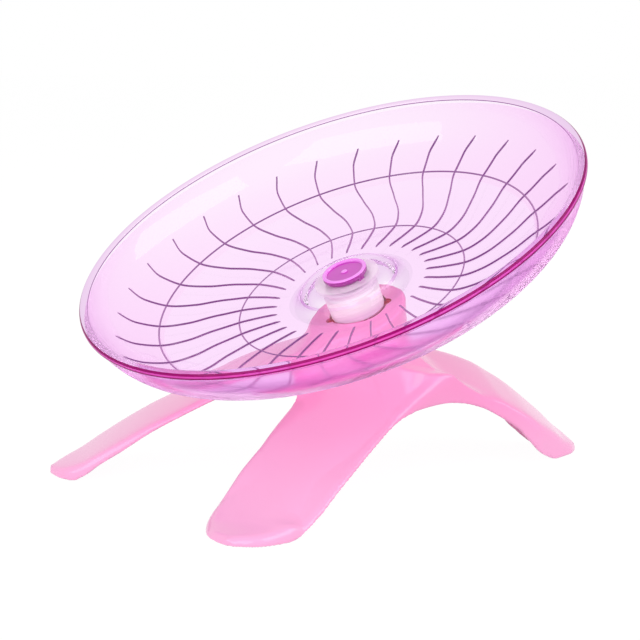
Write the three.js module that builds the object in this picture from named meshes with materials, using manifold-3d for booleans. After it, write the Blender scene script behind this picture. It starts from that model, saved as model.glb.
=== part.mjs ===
// Flying saucer wheel: a clear dish that spins on a tilted axis over a three-legged stand.
// Millimetres and degrees, +Z up. The low side of the dish faces -Y.
import * as THREE from 'three';
import { mergeVertices } from 'three/addons/utils/BufferGeometryUtils.js';
import Module from 'manifold-3d';

const wasm = await Module();
wasm.setup();

// Driving dimensions
const tilt = 26.9;                 // lean of the spin axis from upright
const gap = 0.3;                   // clearance kept between touching pieces
const overrun = 1.0;               // how far a cutter runs past what it cuts
const seatHeight = 55.3;           // centre of the stand's tilted top face above the floor
const seatOffset = 0.8;            // and how far it lies behind the legs' common centre

// Dish
const rimOuterRadius = 90;
const beadRadius = 1.6;
const dishWall = 2.0;
const bowlDepth = 27.4;            // flat floor below the rim plane
const bowlInnerRadius = 86.9;
const bowlShares = [
  [0.314, 1], [0.474, 0.99], [0.65, 0.892], [0.789, 0.73], [0.86, 0.61], [0.925, 0.46], [0.968, 0.29],
  [0.992, 0.12], [1, 0],
];
const dishSegments = 40;
const beadSteps = 5;
const beadFirstAngle = 165;
const beadLastAngle = -75;

// Hub dome of the dish
const domeTopRadius = 16.4;
const domeRise = 5.0;
const domeFootSpread = 2.6;
const domeFootShare = 0.6;         // share of that spread where the foot's curve starts
const domeShoulder = 1.1;
const domeWall = 1.7;
const hubBossRadius = 5.0;
const hubBossDrop = 0.8;
const headRecessDepth = 0.9;

// Grip ribs and rings of the dish
const ribCount = 30;
const ribWidth = 1.0;
const ribTopWidth = 0.5;
const ribHeight = 0.6;
const ribRoot = 0.7;               // how deep a rib is rooted in the floor
const ribFirstAngle = 8.5;
const ribShares = [
  [0.314, 4.4], [0.39, 1.3], [0.47, 0], [0.56, 2.0], [0.68, 7.0], [0.79, 9.9], [0.87, 9.6], [0.938, 7.5],
];
const ribSteps = 6;
const ringRadii = [41.2, 68.6];
const ringWidth = 1.0;
const ringHeight = 0.4;

// Cap on the dome
const capRadius = 8.0;
const capDiscRadius = 7.0;
const capHeight = 2.0;
const capDiscSink = 0.5;
const capLipDrop = 0.35;           // outer edge of the cap's ring below its crest
const capFlankRise = 0.765;        // foot of the ring above the skirt's foot
const capSkirtRadius = 7.4;
const capHollowRadius = 4.6;
const capRoof = 0.8;
const capNubRadius = 1.3;
const capNubHeight = 0.5;
const capNubTopRadius = 0.9;
const prongWidth = 2.6;
const prongThickness = 1.0;
const prongRadius = 6.3;           // inner face of a prong, from the axis
const prongHook = 0.5;
const prongHookHeight = 0.7;

// Bearing, 5 mm bore, 16 mm outside, 5 mm wide
const bearingBore = 2.5;
const bearingOuterRadius = 8.0;
const bearingWidth = 5.0;
const ballCount = 7;
const ballRadius = 1.1;
const pitchRadius = 5.25;
const raceShoulder = 0.95;         // shoulder of each race, from the pitch circle
const shieldThickness = 0.3;
const shieldRecess = 0.7;
const grooveSteps = 6;
const cageHalfWidth = 0.65;
const cageRoof = 0.4;
const cageSkirt = 0.6;

// Bearing seat
const seatRadius = 10.0;
const seatTopClearance = 1.1;      // rim of the seat below the dome's ceiling
const seatStepDrop = 2.0;          // step on the seat's outside below its rim
const seatStep = 0.8;
const seatFloor = 1.5;
const seatWellRadius = 6.5;

// Spindle and what it carries
const spindleHeadRadius = 4.0;
const spindleHeadHeight = 1.1;
const spindleHeadBevel = 0.44;
const spindleHeadTopRadius = 3.2;
const spacerRadius = 3.8;
const spacerLength = 1.4;
const washerRadius = 3.9;
const washerThickness = 0.5;
const clipRadius = 3.7;
const clipThickness = 0.6;
const clipGrooveDepth = 0.4;
const clipOpening = 60;
const spindleTail = 0.6;
const tailClearance = 0.5;         // spindle's lower end above the floor of the seat

// Screws that hold the seat from below
const screwCircle = 8.25;
const screwAngles = [-44, 136];
const screwShank = 0.9;
const screwBite = 3.2;
const screwHeadRadius = 1.9;
const screwHeadHeight = 1.2;

// Stand
const standWall = 2.4;
const neckTopRadius = 17.5;
const neckTopPlate = 2.6;
const neckFootRadius = 21.5;
const neckFootShare = 0.425;       // height of the neck's foot, as a share of the seat's
const neckFootShift = [6.0, 0.9];
const neckShares = [[0, 0], [0.12, 0.02], [0.3, 0.1], [0.5, 0.28], [0.7, 0.56], [0.86, 0.83], [1, 1]];
const neckEdgeRound = 0.8;
const grooveWidth = 0.7;
const grooveDepth = 0.6;
const recessCircle = 11.6;
const recessRadius = 1.3;
const recessDepth = 1.2;
const recessAngles = [46, 226];
const legCrown = 1.2;              // drop of a leg's upper face from its middle to its edge
const legEdge = 1.8;               // least height of a leg's edge
const legEdgeRoll = 0.6;           // share of a leg's roll that its lower edge takes on the raised side
const legEdgeFade = 8;             // height of the lower edge at which that fades out
const legHollowEnd = 0.86;         // share of a leg's length where its hollow stops
const legHollowStart = 0.02;
const legRoundShare = 0.3;         // share of the crown that is a plain arc, the rest lies at the shoulder
const legShoulderPower = 8;
const legRowPower = 1.3;           // crowds a leg's rows towards its toe
const leftLegLength = 108;
const frontLegLength = 100;
const rightLegLength = 83;
const legHalfWidth = 17.5;
const frontLegHalfWidth = 18;

// Each leg: azimuth, length, half width and roll, its greatest heights as shares of the seat's,
// then its sideways offset, half width, upper face and lower edge as shares along the length.
const legs = [
  {
    azimuth: 231.2, length: leftLegLength, halfWidth: legHalfWidth, roll: 0,
    topShare: 0.886, edgeShare: 0.651,
    offsetShares: [[0, 0], [1, 0]],
    widthShares: [[0, 0.9], [0.08, 1.12], [0.15, 1.2], [0.26, 1.12], [0.39, 1.04], [0.65, 0.99],
      [0.76, 0.97], [0.86, 0.88], [0.93, 0.7], [0.97, 0.48], [1, 0.15]],
    topShares: [[0, 0.96], [0.2, 0.865], [0.343, 0.765], [0.463, 0.645], [0.602, 0.495], [0.676, 0.418],
      [0.778, 0.293], [0.843, 0.208], [0.907, 0.125], [0.963, 0.075], [1, 0.049]],
    edgeShares: [[0, 1], [0.2, 0.99], [0.348, 0.94], [0.472, 0.785], [0.584, 0.622], [0.679, 0.472],
      [0.773, 0.292], [0.837, 0.172], [0.889, 0.055], [0.93, 0], [1, 0]],
  },
  {
    azimuth: 286.2, length: frontLegLength, halfWidth: frontLegHalfWidth, roll: -3.5,
    topShare: 0.7595, edgeShare: 0.425,
    offsetShares: [[0, 0.47], [0.4, 0.49], [0.6, 0.5], [0.75, 0.48], [0.87, 0.42], [1, 0.42]],
    widthShares: [[0, 0.6], [0.07, 0.95], [0.14, 1.16], [0.28, 1.08], [0.4, 1.02], [0.6, 0.97],
      [0.7, 0.95], [0.8, 0.92], [0.87, 0.83], [0.94, 0.62], [0.975, 0.42], [1, 0.12]],
    topShares: [[0, 1], [0.14, 0.82], [0.22, 0.722], [0.3, 0.652], [0.376, 0.586], [0.45, 0.514],
      [0.52, 0.436], [0.587, 0.36], [0.655, 0.29], [0.72, 0.225], [0.788, 0.165], [0.85, 0.118], [0.9, 0.09],
      [1, 0.06]],
    edgeShares: [[0, 1.04], [0.14, 1.04], [0.246, 1.01], [0.315, 0.92], [0.381, 0.825], [0.448, 0.725],
      [0.516, 0.62], [0.582, 0.52], [0.645, 0.42], [0.706, 0.3], [0.777, 0.16], [0.82, 0.08], [0.88, 0], [1, 0]],
  },
  {
    azimuth: 56.2, length: rightLegLength, halfWidth: legHalfWidth, roll: -11.9,
    topShare: 0.904, edgeShare: 0.443,
    offsetShares: [[0, 0], [1, 0]],
    widthShares: [[0, 0.9], [0.08, 1.1], [0.16, 1.2], [0.3, 1.11], [0.43, 1.05], [0.58, 1],
      [0.747, 0.95], [0.831, 0.77], [0.867, 0.68], [0.916, 0.54], [0.964, 0.37], [1, 0.12]],
    topShares: [[0, 0.84], [0.106, 0.78], [0.3, 0.715], [0.434, 0.66], [0.573, 0.578], [0.642, 0.51],
      [0.713, 0.436], [0.788, 0.342], [0.877, 0.222], [0.923, 0.15], [0.964, 0.1], [1, 0.055]],
    edgeShares: [[0, 0.96], [0.2, 0.97], [0.3, 1], [0.394, 0.98], [0.482, 0.9], [0.575, 0.735], [0.669, 0.52],
      [0.716, 0.355], [0.766, 0.175], [0.808, 0.08], [0.87, 0], [1, 0]],
  },
];
const legSteps = 14;
const legSectionPoints = 7;
const roundSegments = 24;
const neckSegments = 32;
const clipSegments = 20;
const mergeTolerance = 1e-5;

// Materials
const plastic = (color, roughness, opacity = 1) =>
  new THREE.MeshStandardMaterial({ color, roughness, metalness: 0, opacity, transparent: opacity < 1 });
const metal = (color, roughness) => new THREE.MeshStandardMaterial({ color, roughness, metalness: 1 });
const dishPlastic = plastic(0xe9b8f0, 0.08, 0.45);
const capPlastic = plastic(0xc850be, 0.2);
const seatPlastic = plastic(0xf6f0f4, 0.35);
const standPlastic = plastic(0xff9ccc, 0.22);
const cagePlastic = plastic(0xd8d2b8, 0.5);
const bearingSteel = metal(0xc8cacd, 0.25);
const screwSteel = metal(0xa8aaae, 0.35);

const radians = THREE.MathUtils.degToRad;
const point = (x, y, z) => new THREE.Vector3(x, y, z);

// A closed body from a geometry, with its faces turned outwards
function toSolid(geometry) {
  const bare = geometry.index ? geometry.clone() : geometry;
  bare.deleteAttribute('normal');
  bare.deleteAttribute('uv');
  const merged = mergeVertices(bare, mergeTolerance);
  const vertices = merged.attributes.position.array;
  const triangles = [];
  const index = merged.index.array;
  for (let i = 0; i < index.length; i += 3) {
    const [a, b, c] = [index[i], index[i + 1], index[i + 2]];
    if (a !== b && b !== c && c !== a) triangles.push(a, b, c);
  }
  const build = (order) => new wasm.Manifold(new wasm.Mesh({
    numProp: 3,
    vertProperties: new Float32Array(vertices),
    triVerts: new Uint32Array(order),
  }));
  const body = build(triangles);
  if (body.volume() > 0) return body;
  const turned = [];
  for (let i = 0; i < triangles.length; i += 3) turned.push(triangles[i], triangles[i + 2], triangles[i + 1]);
  return build(turned);
}

function toGeometry(body) {
  const mesh = body.getMesh();
  const geometry = new THREE.BufferGeometry();
  geometry.setAttribute('position', new THREE.BufferAttribute(new Float32Array(mesh.vertProperties), 3));
  geometry.setIndex(new THREE.BufferAttribute(new Uint32Array(mesh.triVerts), 1));
  geometry.computeVertexNormals();
  return geometry;
}

function joined(bodies) {
  return bodies.reduce((sum, body) => sum.add(body));
}

// A named mesh of a body
function piece(name, body, material) {
  const mesh = new THREE.Mesh(toGeometry(body), material);
  mesh.name = name;
  return mesh;
}

// A solid of revolution about Z, from [radius, height] points
function turned(points, segments = roundSegments) {
  const profile = points.map(([radius, height]) => new THREE.Vector2(radius, height));
  profile.push(profile[0].clone());
  const geometry = new THREE.LatheGeometry(profile, segments);
  geometry.rotateX(Math.PI / 2);
  return toSolid(geometry);
}

// A ring or a disc between two heights
function ring(innerRadius, outerRadius, low, high, segments = roundSegments) {
  return turned([[innerRadius, low], [outerRadius, low], [outerRadius, high], [innerRadius, high]], segments);
}

// A closed body through rings of equally many points, with flat ends
function loft(rings) {
  const count = rings[0].length;
  const positions = [];
  const index = [];
  for (const ringPoints of rings) for (const p of ringPoints) positions.push(p.x, p.y, p.z);
  for (let i = 0; i + 1 < rings.length; i += 1) {
    for (let j = 0; j < count; j += 1) {
      const a = i * count + j;
      const b = i * count + (j + 1) % count;
      index.push(a, b, a + count, b, b + count, a + count);
    }
  }
  for (const [start, flip] of [[0, true], [(rings.length - 1) * count, false]]) {
    const middle = point(0, 0, 0);
    for (let j = 0; j < count; j += 1) middle.add(rings[start / count][j]);
    middle.divideScalar(count);
    const centre = positions.length / 3;
    positions.push(middle.x, middle.y, middle.z);
    for (let j = 0; j < count; j += 1) {
      const a = start + j;
      const b = start + (j + 1) % count;
      if (flip) index.push(centre, b, a);
      else index.push(centre, a, b);
    }
  }
  const geometry = new THREE.BufferGeometry();
  geometry.setAttribute('position', new THREE.Float32BufferAttribute(positions, 3));
  geometry.setIndex(index);
  return toSolid(geometry);
}

// Height on a smooth curve through [place, value] pairs
function curveThrough(pairs) {
  const slopes = pairs.map((pair, i) => {
    if (i === 0 || i === pairs.length - 1) return 0;
    const before = (pair[1] - pairs[i - 1][1]) / (pair[0] - pairs[i - 1][0]);
    const after = (pairs[i + 1][1] - pair[1]) / (pairs[i + 1][0] - pair[0]);
    return before * after <= 0 ? 0 : 2 * before * after / (before + after);
  });
  const last = pairs.length - 1;
  slopes[0] = (pairs[1][1] - pairs[0][1]) / (pairs[1][0] - pairs[0][0]);
  slopes[last] = (pairs[last][1] - pairs[last - 1][1]) / (pairs[last][0] - pairs[last - 1][0]);
  return (place) => {
    let i = 0;
    while (i < last - 1 && place > pairs[i + 1][0]) i += 1;
    const span = pairs[i + 1][0] - pairs[i][0];
    const t = (place - pairs[i][0]) / span;
    const start = (1 + 2 * t) * (1 - t) ** 2 * pairs[i][1] + t * (1 - t) ** 2 * span * slopes[i];
    return start + t ** 2 * (3 - 2 * t) * pairs[i + 1][1] + t ** 2 * (t - 1) * span * slopes[i + 1];
  };
}

// Heights along the spin axis from the stand's top face, each piece standing on the one below
const spindleFoot = gap + seatFloor + tailClearance;
const clipBottom = spindleFoot + spindleTail;
const clipTop = clipBottom + clipThickness;
const washerBottom = clipTop + gap;
const seatLedge = washerBottom + washerThickness;
const bearingBottom = seatLedge + gap;
const bearingTop = bearingBottom + bearingWidth;
const spacerBottom = bearingTop + gap;
const spacerTop = spacerBottom + spacerLength;
const hubBossFoot = spacerTop + gap;
const domeCeiling = hubBossFoot + hubBossDrop;
const seatRise = domeCeiling - seatTopClearance;
const domeTop = domeCeiling + domeWall;
const headSeat = domeTop - headRecessDepth;
const floorTop = domeTop - domeRise;
const rimAboveSeat = floorTop + bowlDepth;
const spindleRadius = bearingBore - gap;

// Inner face of the bowl as [radius, height] points from the floor to the rim
function bowlLine() {
  return bowlShares.map(
    ([radius, depth]) => new THREE.Vector2(radius * bowlInnerRadius, rimAboveSeat - depth * bowlDepth));
}

// The bowl line moved outwards by a distance
function offsetLine(line, distance) {
  return line.map((p, i) => {
    const before = line[Math.max(i - 1, 0)];
    const after = line[Math.min(i + 1, line.length - 1)];
    const along = after.clone().sub(before).normalize();
    return new THREE.Vector2(p.x + along.y * distance, p.y - along.x * distance);
  });
}

// Height of the bowl's inner face at a radius
function bowlHeight(line, radius) {
  for (let i = 1; i < line.length; i += 1) {
    if (radius <= line[i].x) {
      const t = (radius - line[i - 1].x) / (line[i].x - line[i - 1].x);
      return line[i - 1].y + t * (line[i].y - line[i - 1].y);
    }
  }
  return line[line.length - 1].y;
}

// One S-shaped grip rib that follows the bowl's inner face
function rib(line, turn) {
  const bend = curveThrough(ribShares);
  const first = ribShares[0][0];
  const last = ribShares[ribShares.length - 1][0];
  const spot = (share) => {
    const radius = share * bowlInnerRadius;
    const angle = radians(turn + bend(share));
    return point(radius * Math.cos(angle), radius * Math.sin(angle), bowlHeight(line, radius));
  };
  const rings = [];
  for (let i = 0; i <= ribSteps; i += 1) {
    const share = first + (last - first) * i / ribSteps;
    const centre = spot(share);
    const nudge = (last - first) / ribSteps / 4;
    const along = spot(share + nudge).sub(spot(share - nudge)).normalize();
    const side = point(0, 0, 1).cross(along).normalize();
    const up = along.clone().cross(side).normalize();
    const place = (across, rise) => centre.clone().addScaledVector(side, across).addScaledVector(up, rise);
    rings.push([
      place(-ribWidth / 2, -ribRoot), place(ribWidth / 2, -ribRoot),
      place(ribTopWidth / 2, ribHeight), place(-ribTopWidth / 2, ribHeight),
    ]);
  }
  return loft(rings);
}

// Dish: bowl, rounded bead, dome with its hub, rings and ribs
function makeSaucer() {
  const inner = bowlLine();
  const outer = offsetLine(inner, dishWall);
  const holeRadius = spindleRadius + gap;
  const headRadius = spindleHeadRadius + gap;
  const domeInner = domeTopRadius - domeWall;
  const profile = [
    [holeRadius, headSeat], [headRadius, headSeat], [headRadius, domeTop],
    [domeTopRadius - domeShoulder, domeTop], [domeTopRadius - domeShoulder / 3, domeTop - domeShoulder / 3],
    [domeTopRadius, domeTop - domeShoulder],
    [domeTopRadius + domeFootSpread * domeFootShare, floorTop + domeShoulder],
    [domeTopRadius + domeFootSpread, floorTop],
  ];
  const bumps = [...ringRadii];
  for (const p of inner) {
    while (bumps.length > 0 && p.x > bumps[0]) {
      const at = bumps.shift();
      for (const [side, rise] of [[-0.5, 0], [0, 1], [0.5, 0]]) {
        const radius = at + side * ringWidth;
        profile.push([radius, bowlHeight(inner, radius) + rise * ringHeight]);
      }
    }
    if (ringRadii.every((at) => Math.abs(p.x - at) > ringWidth)) profile.push([p.x, p.y]);
  }
  const beadCentre = rimOuterRadius - beadRadius;
  profile.pop();
  for (let i = 0; i <= beadSteps; i += 1) {
    const angle = radians(beadFirstAngle + (beadLastAngle - beadFirstAngle) * i / beadSteps);
    profile.push([beadCentre + beadRadius * Math.cos(angle), rimAboveSeat + beadRadius * Math.sin(angle)]);
  }
  for (const p of outer.slice(1, -1).reverse()) {
    if (p.y < rimAboveSeat - beadRadius) profile.push([p.x, p.y]);
  }
  profile.push(
    [domeTopRadius + domeFootSpread, floorTop - dishWall],
    [domeInner + domeFootSpread * domeFootShare, floorTop - dishWall + domeShoulder],
    [domeInner, domeCeiling - domeShoulder],
    [domeInner - domeShoulder, domeCeiling],
    [hubBossRadius, domeCeiling], [hubBossRadius, hubBossFoot], [holeRadius, hubBossFoot],
  );
  const ribs = [];
  for (let i = 0; i < ribCount; i += 1) ribs.push(rib(inner, ribFirstAngle + i * 360 / ribCount));
  let body = joined([turned(profile, dishSegments), ...ribs]);
  for (const side of [1, -1]) {
    body = body.subtract(prongBlock(side, gap, hubBossFoot - overrun, domeTop + overrun, true));
  }
  return piece('saucer', body, dishPlastic);
}

// A prong of the cap, or the slot that it passes through
function prongBlock(side, clearance, low, high, withHook) {
  const reach = withHook ? prongHook : 0;
  const depth = prongThickness + reach + 2 * clearance;
  const geometry = new THREE.BoxGeometry(depth, prongWidth + 2 * clearance, high - low);
  geometry.translate(side * (prongRadius - clearance + depth / 2), 0, (high + low) / 2);
  return toSolid(geometry);
}

// Cap: a ring round a sunken disc, with a nub, hollow over the spindle's head, and two prongs
function makeHubCap() {
  const foot = domeTop + gap;
  const top = domeTop + capHeight;
  const disc = top - capDiscSink;
  const ringFoot = foot + capFlankRise;
  const shell = turned([
    [0, disc + capNubHeight], [capNubTopRadius, disc + capNubHeight], [capNubRadius, disc],
    [capDiscRadius, disc], [capDiscRadius, disc + capDiscSink / 2],
    [(capDiscRadius + capRadius) / 2, top], [capRadius, top - capLipDrop],
    [capRadius, ringFoot], [capSkirtRadius, ringFoot - capDiscSink / 2], [capSkirtRadius, foot],
    [capHollowRadius, foot], [capHollowRadius, disc - capRoof], [0, disc - capRoof],
  ]);
  const prongs = [];
  for (const side of [1, -1]) {
    const hookTop = domeCeiling - gap;
    const tip = hookTop - prongHookHeight;
    prongs.push(prongBlock(side, 0, tip, foot + overrun / 2, false));
    prongs.push(prongBlock(side, 0, tip, hookTop, true));
  }
  return piece('hub_cap', joined([shell, ...prongs]), capPlastic);
}

// Race profile with a ball groove: side is 1 for the outer race and -1 for the inner one
function raceGroove(side) {
  const grooveRadius = ballRadius + gap;
  const shoulder = pitchRadius + side * raceShoulder;
  const halfSpan = Math.acos(raceShoulder / grooveRadius);
  const points = [];
  for (let i = 0; i <= grooveSteps; i += 1) {
    const angle = -halfSpan + 2 * halfSpan * i / grooveSteps;
    points.push([pitchRadius + side * grooveRadius * Math.cos(angle), grooveRadius * Math.sin(angle)]);
  }
  points[0][0] = shoulder;
  points[grooveSteps][0] = shoulder;
  return points;
}

function makeBearing() {
  const half = bearingWidth / 2;
  const middle = (bearingBottom + bearingTop) / 2;
  const lift = (points) => points.map(([radius, height]) => [radius, middle + height]);
  const outerShoulder = pitchRadius + raceShoulder;
  const shieldSeat = half - shieldRecess;
  const recessRadiusOut = outerShoulder + shieldRecess;
  const outerRace = turned(lift([
    [recessRadiusOut, -half], [bearingOuterRadius, -half], [bearingOuterRadius, half], [recessRadiusOut, half],
    [recessRadiusOut, shieldSeat], [outerShoulder, shieldSeat], ...raceGroove(1).reverse(),
    [outerShoulder, -shieldSeat], [recessRadiusOut, -shieldSeat],
  ]));
  const innerShoulder = pitchRadius - raceShoulder;
  const innerRace = turned(lift([
    [bearingBore, -half], [innerShoulder, -half], ...raceGroove(-1), [innerShoulder, half], [bearingBore, half],
  ]));
  const pieces = [piece('bearing_outer_race', outerRace, bearingSteel)];
  const spinning = [piece('bearing_inner_race', innerRace, bearingSteel)];
  const cagePieces = [];
  const roof = ballRadius + gap + cageRoof;
  let cage = ring(pitchRadius - cageHalfWidth, pitchRadius + cageHalfWidth, middle - cageSkirt, middle + roof);
  for (let i = 0; i < ballCount; i += 1) {
    const angle = 2 * Math.PI * i / ballCount;
    const ball = new THREE.IcosahedronGeometry(ballRadius, 1);
    const pocket = new THREE.IcosahedronGeometry(ballRadius + gap, 1);
    const spot = [pitchRadius * Math.cos(angle), pitchRadius * Math.sin(angle), middle];
    ball.translate(...spot);
    pocket.translate(...spot);
    cage = cage.subtract(toSolid(pocket));
    cagePieces.push(piece(`bearing_ball_${i + 1}`, toSolid(ball), bearingSteel));
  }
  cagePieces.push(piece('bearing_cage', cage, cagePlastic));
  const shieldInner = innerShoulder + gap;
  const shieldOuter = recessRadiusOut - gap;
  for (const [name, side] of [['bearing_shield_upper', 1], ['bearing_shield_lower', -1]]) {
    const near = middle + side * (shieldSeat + gap);
    const far = near + side * shieldThickness;
    const shield = ring(shieldInner, shieldOuter, Math.min(near, far), Math.max(near, far));
    pieces.push(piece(name, shield, bearingSteel));
  }
  return { pieces, spinning, cagePieces };
}

// Cup that holds the bearing and stands on the stand's top face
function makeSeat() {
  const pocket = bearingOuterRadius + gap;
  const stepTop = seatRise - seatStepDrop;
  let body = turned([
    [0, gap], [seatRadius, gap], [seatRadius, stepTop], [seatRadius - seatStep, stepTop + gap],
    [seatRadius - seatStep, seatRise], [pocket, seatRise], [pocket, seatLedge], [seatWellRadius, seatLedge],
    [seatWellRadius, seatFloor + gap], [0, seatFloor + gap],
  ], neckSegments);
  for (const angle of screwAngles) {
    body = body.subtract(screwRod(angle, screwShank + gap, -overrun, gap + screwBite + gap));
  }
  return piece('bearing_seat', body, seatPlastic);
}

// An upright rod on the screw circle
function screwRod(angle, radius, low, high) {
  const geometry = new THREE.CylinderGeometry(radius, radius, high - low, roundSegments / 2);
  geometry.rotateX(Math.PI / 2);
  const x = screwCircle * Math.cos(radians(angle));
  const y = screwCircle * Math.sin(radians(angle));
  geometry.translate(x, y, (high + low) / 2);
  return toSolid(geometry);
}

function makeScrews() {
  const headTop = -neckTopPlate - gap;
  return screwAngles.map((angle, i) => {
    const shank = screwRod(angle, screwShank, headTop - screwHeadHeight / 2, gap + screwBite);
    const head = screwRod(angle, screwHeadRadius, headTop - screwHeadHeight, headTop);
    return piece(i === 0 ? 'seat_screw_right' : 'seat_screw_left', shank.add(head), screwSteel);
  });
}

// Spindle, with the sleeve, washer and clip that hold it
function makeSpindleSet() {
  const headBottom = headSeat + gap;
  const neck = spindleRadius - clipGrooveDepth;
  const spindle = turned([
    [0, spindleFoot], [spindleRadius, spindleFoot], [spindleRadius, clipBottom - gap], [neck, clipBottom - gap],
    [neck, clipTop + gap], [spindleRadius, clipTop + gap], [spindleRadius, headBottom],
    [spindleHeadRadius, headBottom], [spindleHeadRadius, headBottom + spindleHeadHeight - spindleHeadBevel],
    [spindleHeadTopRadius, headBottom + spindleHeadHeight], [0, headBottom + spindleHeadHeight],
  ]);
  const spacer = ring(spindleRadius + gap, spacerRadius, spacerBottom, spacerTop);
  const washer = ring(spindleRadius + gap, washerRadius, washerBottom, washerBottom + washerThickness);
  const half = radians(clipOpening / 2);
  const clipOutline = new THREE.Shape();
  clipOutline.absarc(0, 0, clipRadius, half, 2 * Math.PI - half, false);
  clipOutline.absarc(0, 0, neck + gap, 2 * Math.PI - half, half, true);
  const clip = new THREE.ExtrudeGeometry(
    clipOutline, { depth: clipThickness, bevelEnabled: false, curveSegments: clipSegments });
  clip.translate(0, 0, clipBottom);
  return [
    piece('spindle', spindle, bearingSteel), piece('spindle_spacer', spacer, seatPlastic),
    piece('spindle_washer', washer, screwSteel), piece('spindle_clip', toSolid(clip), screwSteel),
  ];
}

// Directions of the tilted frame in the stand's own frame
const tiltAngle = radians(tilt);
const seatCentre = point(0, seatOffset, seatHeight);
const intoStand = new THREE.Matrix4().makeRotationX(tiltAngle).setPosition(seatCentre);

// Neck: from the tilted round top down to a level round foot, drawn in by a wall
function neckBody(wall) {
  const foot = neckFootShare * seatHeight - (wall > 0 ? overrun : 0);
  const ceiling = wall > 0 ? -neckTopPlate : 0;
  const circle = (share, spread) => {
    const points = [];
    const radius = THREE.MathUtils.lerp(neckTopRadius, neckFootRadius, spread) - wall;
    for (let j = 0; j < neckSegments; j += 1) {
      const angle = 2 * Math.PI * j / neckSegments;
      const rim = neckTopRadius - wall;
      const high = point(rim * Math.cos(angle), rim * Math.sin(angle), ceiling).applyMatrix4(intoStand);
      const x = spread * neckFootShift[0] + radius * Math.cos(angle);
      const middle = THREE.MathUtils.lerp(high.y - radius * Math.sin(angle), spread * neckFootShift[1], spread);
      points.push(point(x, middle + radius * Math.sin(angle), THREE.MathUtils.lerp(high.z, foot, share)));
    }
    return points;
  };
  const rings = neckShares.map(([share, spread]) => circle(share, spread));
  if (wall === 0) {
    const inward = 1 - neckEdgeRound / neckTopRadius;
    const edge = rings[0].map((p) => seatCentre.clone().lerp(p, inward));
    rings[0].forEach((p) => p.addScaledVector(point(0, 0, -neckEdgeRound), 1));
    rings.unshift(edge);
  }
  return loft(rings);
}

// One leg as a closed body: its full outside, or the hollow under its wall
function legBody(leg, wall) {
  const along = point(Math.cos(radians(leg.azimuth)), Math.sin(radians(leg.azimuth)), 0);
  const aside = point(-along.y, along.x, 0);
  const scaled = (shares, size) => curveThrough(shares.map(([place, share]) => [place, share * size]));
  const top = scaled(leg.topShares, leg.topShare * seatHeight);
  const edge = scaled(leg.edgeShares, leg.edgeShare * seatHeight);
  const offset = scaled(leg.offsetShares, leg.halfWidth);
  const width = scaled(leg.widthShares, leg.halfWidth);
  const firstShare = wall > 0 ? legHollowStart : 0;
  const lastShare = wall > 0 ? legHollowEnd : 1;
  const rings = [];
  for (let i = 0; i <= legSteps; i += 1) {
    const share = firstShare + (lastShare - firstShare) * (1 - (1 - i / legSteps) ** legRowPower);
    const half = width(share) - wall;
    const tip = Math.tan(radians(leg.roll));
    const edgeTip = tip * legEdgeRoll * Math.min(1, edge(share) / legEdgeFade);
    const low = (u) => edge(share) + Math.max(0, -edgeTip * u * half) - (wall > 0 ? overrun : 0);
    const circle = [];
    const put = (across, height) => circle.push(along.clone().multiplyScalar(share * leg.length)
      .addScaledVector(aside, offset(share) + across).setZ(height));
    put(half, low(1));
    for (let j = 0; j < legSectionPoints; j += 1) {
      const u = 1 - 2 * j / (legSectionPoints - 1);
      const bent = Math.sign(u) * Math.sin(Math.abs(u) * Math.PI / 2);
      const shoulder = (1 - legRoundShare) * Math.abs(bent) ** legShoulderPower;
      const drop = legCrown * (legRoundShare * bent ** 2 + shoulder);
      const upper = Math.max(top(share) - tip * bent * half - drop, low(bent) + legEdge);
      put(bent * half, wall > 0 ? Math.max(upper - wall, low(bent) + overrun / 2) : upper);
    }
    put(-half, low(-1));
    rings.push(circle);
  }
  return loft(rings);
}

// Stand: neck and three legs as one shell, open below, with its top face's groove and recesses
function makeStand() {
  const outside = joined([neckBody(0), ...legs.map((leg) => legBody(leg, 0))]);
  const inside = joined([neckBody(standWall), ...legs.map((leg) => legBody(leg, standWall))]);
  const cutters = screwAngles.map((angle) => screwRod(angle, screwShank + gap, -neckTopPlate - overrun, overrun));
  cutters.push(ring(seatRadius, seatRadius + grooveWidth, -grooveDepth, overrun, neckSegments));
  for (const angle of recessAngles) {
    const geometry = new THREE.CylinderGeometry(recessRadius, recessRadius, recessDepth + overrun, roundSegments / 2);
    geometry.rotateX(Math.PI / 2);
    const x = recessCircle * Math.cos(radians(angle));
    const y = recessCircle * Math.sin(radians(angle));
    geometry.translate(x, y, (overrun - recessDepth) / 2);
    cutters.push(toSolid(geometry));
  }
  const shell = outside.subtract(inside);
  const cut = shell.subtract(joined(cutters).transform(intoStand.toArray()));
  return piece('stand', cut, standPlastic);
}

// Assembly: the stand, and on its tilted top everything that sits on the spin axis
const assembly = new THREE.Group();
assembly.add(makeStand());
const onAxis = new THREE.Group();
onAxis.position.copy(seatCentre);
onAxis.rotation.x = tiltAngle;
assembly.add(onAxis);

const bearing = makeBearing();
onAxis.add(makeSeat(), ...makeScrews(), ...bearing.pieces);
onAxis.add(...bearing.cagePieces);
onAxis.add(makeSaucer(), makeHubCap(), ...bearing.spinning, ...makeSpindleSet());

// The origin is the middle of the model's box at floor height
assembly.updateMatrixWorld(true);
const box = new THREE.Box3().setFromObject(assembly, true);
const middleOfBox = box.getCenter(new THREE.Vector3());
assembly.position.set(-middleOfBox.x, -middleOfBox.y, -box.min.z);

const model = new THREE.Group();
model.add(assembly);
export default model;
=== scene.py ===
"""Flying saucer wheel: a clear dish that spins on a tilted axis over a glossy three-legged stand.

Sizes are in millimetres and are turned into metres where they reach Blender.
"""
import math

import bpy
import numpy as np
import openvdb
from mathutils import Matrix, Vector


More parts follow.
